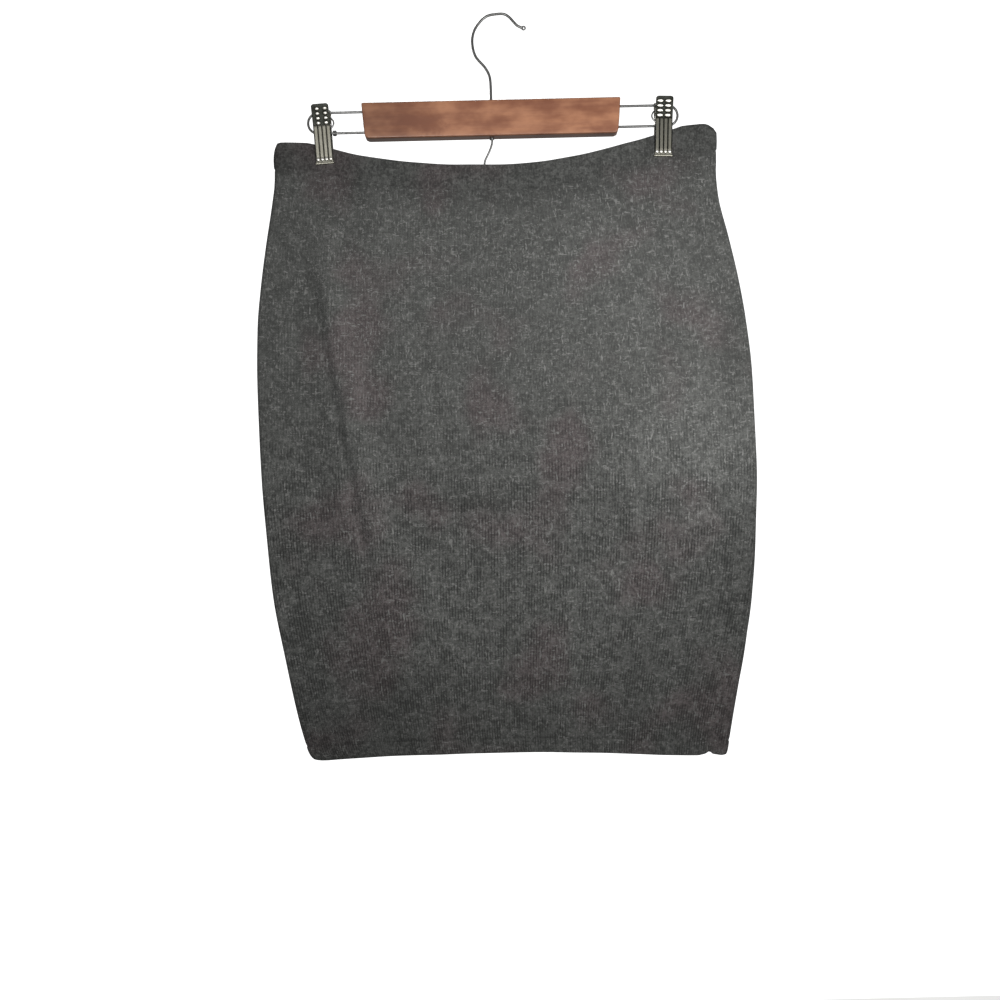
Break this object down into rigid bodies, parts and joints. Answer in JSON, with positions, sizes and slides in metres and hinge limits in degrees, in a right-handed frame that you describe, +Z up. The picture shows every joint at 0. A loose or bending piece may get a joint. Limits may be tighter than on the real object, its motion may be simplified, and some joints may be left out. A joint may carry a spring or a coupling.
{
  "type": "pencil skirt on a clip hanger",
  "caption": "Knitted pencil skirt with a folded waistband and turned hem, hung by its waist from a wooden bar hanger with sliding metal clips and a wire hook.",
  "frame": {"origin": "the highest point inside the hook's bend, where a rail or peg carries the hanger", "axes": "+Z up, -Y towards the skirt's front, +X to the right seen from the front"},
  "size_m": [0.4845, 0.0319, 0.7267],
  "materials": {
    "cloth": "brushed charcoal marl knit, matt",
    "band": "folded charcoal marl knit, matt",
    "wood": "reddish brown stain, satin lacquer",
    "wire": "nickel plated steel wire",
    "plate": "nickel plated pressed steel"
  },
  "bodies": {
    "root": {"front_panel": "cloth", "back_panel": "cloth", "waistband": "band", "bar": "wood", "hook": "wire", "lower_hook": "wire", "frame_left": "wire", "frame_right": "wire", "spring_left": "wire", "spring_right": "wire", "clip_left_front": "plate", "clip_left_back": "plate", "clip_right_front": "plate", "clip_right_back": "plate"}
  },
  "joints": []
}
